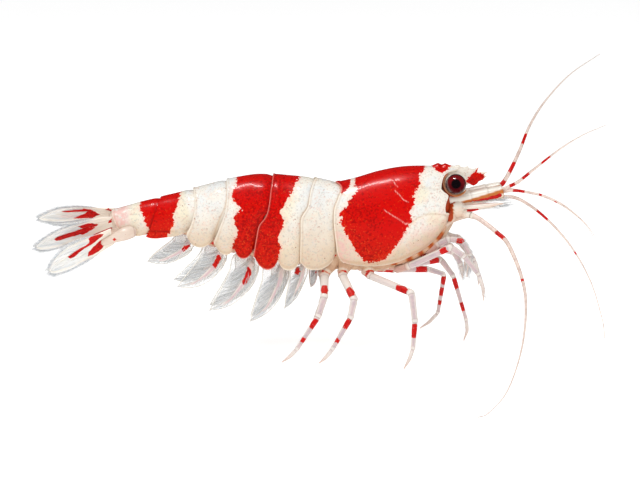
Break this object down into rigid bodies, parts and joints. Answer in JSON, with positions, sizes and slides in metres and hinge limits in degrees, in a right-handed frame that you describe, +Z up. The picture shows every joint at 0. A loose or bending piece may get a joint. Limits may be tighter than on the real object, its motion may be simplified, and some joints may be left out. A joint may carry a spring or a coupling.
{
  "type": "bee shrimp",
  "caption": "Life-size still model of a red and white banded freshwater bee shrimp, standing on its walking legs.",
  "frame": {"origin": "on the floor under the middle of the whole outline, in the body's plane of symmetry", "axes": "+X along the body towards the head, +Y to the animal's left, +Z up"},
  "size_m": [0.0396, 0.0368, 0.0178],
  "materials": {
    "shell_white": "glossy cream-white shell",
    "shell_red": "glossy shell with red bands",
    "limb": "glassy pinkish white with red rings",
    "fin": "thin, clear grey fin with red streaks",
    "feeler": "cream-pink with red rings",
    "eye": "polished dark red-black",
    "flesh": "moist tan skin"
  },
  "bodies": {
    "root": {"abdomen_segment_1": "shell_white", "abdomen_segment_2": "shell_red", "abdomen_segment_3": "shell_red", "abdomen_segment_4": "shell_white", "abdomen_segment_5": "shell_red", "abdomen_segment_6": "shell_white", "antenna_base_left": "flesh", "antenna_base_right": "flesh", "antenna_flagellum_left_far": "feeler", "antenna_flagellum_left_near": "feeler", "antenna_flagellum_right_far": "feeler", "antenna_flagellum_right_near": "feeler", "antenna_scale_left": "limb", "antenna_scale_right": "limb", "antennule_lower_flagellum_left": "feeler", "antennule_lower_flagellum_right": "feeler", "antennule_stalk_left": "limb", "antennule_stalk_right": "limb", "antennule_upper_flagellum_left": "feeler", "antennule_upper_flagellum_right": "feeler", "carapace": "shell_red", "eye_left": "eye", "eye_right": "eye", "eyestalk_left": "flesh", "eyestalk_right": "flesh", "leg_1_left": "limb", "leg_1_right": "limb", "leg_2_left": "limb", "leg_2_right": "limb", "leg_3_left": "limb", "leg_3_right": "limb", "leg_4_left": "limb", "leg_4_right": "limb", "leg_5_left": "limb", "leg_5_right": "limb", "maxilliped_left": "limb", "maxilliped_right": "limb", "mouthparts": "flesh", "rostrum": "shell_red", "swimmeret_1_left": "fin", "swimmeret_1_right": "fin", "swimmeret_2_left": "fin", "swimmeret_2_right": "fin", "swimmeret_3_left": "fin", "swimmeret_3_right": "fin", "swimmeret_4_left": "fin", "swimmeret_4_right": "fin", "swimmeret_5_left": "fin", "swimmeret_5_right": "fin", "telson": "fin", "thorax_underside": "flesh", "uropod_base_left": "shell_white", "uropod_base_right": "shell_white", "uropod_inner_left": "fin", "uropod_inner_right": "fin", "uropod_outer_left": "fin", "uropod_outer_right": "fin"}
  },
  "joints": []
}
